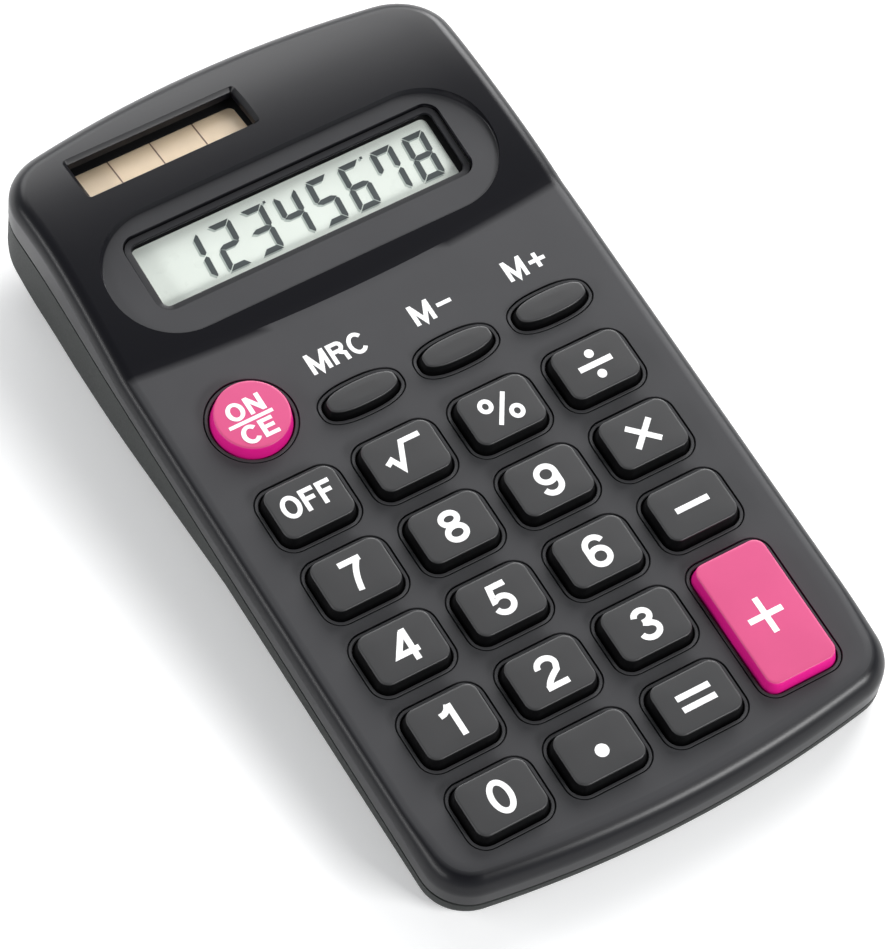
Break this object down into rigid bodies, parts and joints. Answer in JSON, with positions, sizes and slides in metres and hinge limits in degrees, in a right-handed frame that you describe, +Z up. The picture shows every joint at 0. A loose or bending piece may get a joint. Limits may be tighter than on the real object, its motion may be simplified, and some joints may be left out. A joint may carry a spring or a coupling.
{
  "type": "pocket calculator",
  "caption": "Pocket calculator with a flat keypad, a raised display end with a liquid crystal display and a solar cell, and a battery cover underneath.",
  "frame": {"origin": "bottom centre of the whole object, on the surface it lies on", "axes": "+X to the right with the keys facing up, +Y from the keypad towards the display end, +Z up from the surface it lies on"},
  "size_m": [0.0662, 0.1222, 0.017],
  "materials": {
    "upper_case_plastic": "satin black moulded plastic",
    "lower_case_plastic": "fine-textured dark grey moulded plastic",
    "key_plastic": "semi-gloss black",
    "pink_key_plastic": "semi-gloss pink",
    "clear_window": "polished clear sheet",
    "display_glass": "smooth, silvery grey-green",
    "solar_film": "smooth tan",
    "reflector_film": "brushed silver film",
    "silicone_rubber": "matt grey",
    "board_laminate": "green solder resist",
    "chip_resin": "glossy black resin",
    "capacitor_sleeve": "smooth dark blue sleeve",
    "resistor_body": "lacquered",
    "cell_label": "printed plastic sleeve",
    "red_wire": "smooth insulation",
    "black_wire": "smooth insulation",
    "spring_steel": "bright plated",
    "screw_steel": "zinc plated"
  },
  "bodies": {
    "case": {"upper_case": "upper_case_plastic", "lower_case": "lower_case_plastic", "display_window": "clear_window", "solar_window": "clear_window", "lcd_glass": "display_glass", "lcd_reflector": "reflector_film", "lcd_connector": "silicone_rubber", "solar_cell": "solar_film", "key_mat": "silicone_rubber", "main_board": "board_laminate", "controller_chip": "chip_resin", "capacitor": "capacitor_sleeve", "resistor": "resistor_body", "board_screw_1": "screw_steel", "board_screw_2": "screw_steel", "board_screw_3": "screw_steel", "board_screw_4": "screw_steel", "battery_cell": "cell_label", "battery_contact_negative": "spring_steel", "battery_contact_positive": "spring_steel", "solar_wire_red": "red_wire", "solar_wire_black": "black_wire", "battery_wire_black": "black_wire", "battery_wire_red": "red_wire", "case_screw_1": "screw_steel", "case_screw_2": "screw_steel", "case_screw_3": "screw_steel", "case_screw_4": "screw_steel"},
    "key_on_ce": {"key_on_ce": "pink_key_plastic"},
    "key_mrc": {"key_mrc": "key_plastic"},
    "key_m_minus": {"key_m_minus": "key_plastic"},
    "key_m_plus": {"key_m_plus": "key_plastic"},
    "key_off": {"key_off": "key_plastic"},
    "key_root": {"key_root": "key_plastic"},
    "key_percent": {"key_percent": "key_plastic"},
    "key_divide": {"key_divide": "key_plastic"},
    "key_7": {"key_7": "key_plastic"},
    "key_8": {"key_8": "key_plastic"},
    "key_9": {"key_9": "key_plastic"},
    "key_multiply": {"key_multiply": "key_plastic"},
    "key_4": {"key_4": "key_plastic"},
    "key_5": {"key_5": "key_plastic"},
    "key_6": {"key_6": "key_plastic"},
    "key_minus": {"key_minus": "key_plastic"},
    "key_1": {"key_1": "key_plastic"},
    "key_2": {"key_2": "key_plastic"},
    "key_3": {"key_3": "key_plastic"},
    "key_0": {"key_0": "key_plastic"},
    "key_point": {"key_point": "key_plastic"},
    "key_equals": {"key_equals": "key_plastic"},
    "key_plus": {"key_plus": "pink_key_plastic"},
    "battery_cover": {"battery_cover": "lower_case_plastic"}
  },
  "joints": [
    {"name": "key_on_ce_press", "type": "slide", "parent": "case", "child": "key_on_ce", "axis": [0, 0.0698, -0.9976], "range_m": [0, 0.001], "stiffness_N_per_m": 1000},
    {"name": "key_mrc_press", "type": "slide", "parent": "case", "child": "key_mrc", "axis": [0, 0.0698, -0.9976], "range_m": [0, 0.001], "stiffness_N_per_m": 1000},
    {"name": "key_m_minus_press", "type": "slide", "parent": "case", "child": "key_m_minus", "axis": [0, 0.0698, -0.9976], "range_m": [0, 0.001], "stiffness_N_per_m": 1000},
    {"name": "key_m_plus_press", "type": "slide", "parent": "case", "child": "key_m_plus", "axis": [0, 0.0698, -0.9976], "range_m": [0, 0.001], "stiffness_N_per_m": 1000},
    {"name": "key_off_press", "type": "slide", "parent": "case", "child": "key_off", "axis": [0, 0.0698, -0.9976], "range_m": [0, 0.001], "stiffness_N_per_m": 1000},
    {"name": "key_root_press", "type": "slide", "parent": "case", "child": "key_root", "axis": [0, 0.0698, -0.9976], "range_m": [0, 0.001], "stiffness_N_per_m": 1000},
    {"name": "key_percent_press", "type": "slide", "parent": "case", "child": "key_percent", "axis": [0, 0.0698, -0.9976], "range_m": [0, 0.001], "stiffness_N_per_m": 1000},
    {"name": "key_divide_press", "type": "slide", "parent": "case", "child": "key_divide", "axis": [0, 0.0698, -0.9976], "range_m": [0, 0.001], "stiffness_N_per_m": 1000},
    {"name": "key_7_press", "type": "slide", "parent": "case", "child": "key_7", "axis": [0, 0.0698, -0.9976], "range_m": [0, 0.001], "stiffness_N_per_m": 1000},
    {"name": "key_8_press", "type": "slide", "parent": "case", "child": "key_8", "axis": [0, 0.0698, -0.9976], "range_m": [0, 0.001], "stiffness_N_per_m": 1000},
    {"name": "key_9_press", "type": "slide", "parent": "case", "child": "key_9", "axis": [0, 0.0698, -0.9976], "range_m": [0, 0.001], "stiffness_N_per_m": 1000},
    {"name": "key_multiply_press", "type": "slide", "parent": "case", "child": "key_multiply", "axis": [0, 0.0698, -0.9976], "range_m": [0, 0.001], "stiffness_N_per_m": 1000},
    {"name": "key_4_press", "type": "slide", "parent": "case", "child": "key_4", "axis": [0, 0.0698, -0.9976], "range_m": [0, 0.001], "stiffness_N_per_m": 1000},
    {"name": "key_5_press", "type": "slide", "parent": "case", "child": "key_5", "axis": [0, 0.0698, -0.9976], "range_m": [0, 0.001], "stiffness_N_per_m": 1000},
    {"name": "key_6_press", "type": "slide", "parent": "case", "child": "key_6", "axis": [0, 0.0698, -0.9976], "range_m": [0, 0.001], "stiffness_N_per_m": 1000},
    {"name": "key_minus_press", "type": "slide", "parent": "case", "child": "key_minus", "axis": [0, 0.0698, -0.9976], "range_m": [0, 0.001], "stiffness_N_per_m": 1000},
    {"name": "key_1_press", "type": "slide", "parent": "case", "child": "key_1", "axis": [0, 0.0698, -0.9976], "range_m": [0, 0.001], "stiffness_N_per_m": 1000},
    {"name": "key_2_press", "type": "slide", "parent": "case", "child": "key_2", "axis": [0, 0.0698, -0.9976], "range_m": [0, 0.001], "stiffness_N_per_m": 1000},
    {"name": "key_3_press", "type": "slide", "parent": "case", "child": "key_3", "axis": [0, 0.0698, -0.9976], "range_m": [0, 0.001], "stiffness_N_per_m": 1000},
    {"name": "key_0_press", "type": "slide", "parent": "case", "child": "key_0", "axis": [0, 0.0698, -0.9976], "range_m": [0, 0.001], "stiffness_N_per_m": 1000},
    {"name": "key_point_press", "type": "slide", "parent": "case", "child": "key_point", "axis": [0, 0.0698, -0.9976], "range_m": [0, 0.001], "stiffness_N_per_m": 1000},
    {"name": "key_equals_press", "type": "slide", "parent": "case", "child": "key_equals", "axis": [0, 0.0698, -0.9976], "range_m": [0, 0.001], "stiffness_N_per_m": 1000},
    {"name": "key_plus_press", "type": "slide", "parent": "case", "child": "key_plus", "axis": [0, 0.0698, -0.9976], "range_m": [0, 0.001], "stiffness_N_per_m": 1000},
    {"name": "battery_cover_slide", "type": "slide", "parent": "case", "child": "battery_cover", "axis": [0, 1, 0], "range_m": [0, 0.004]}
  ]
}
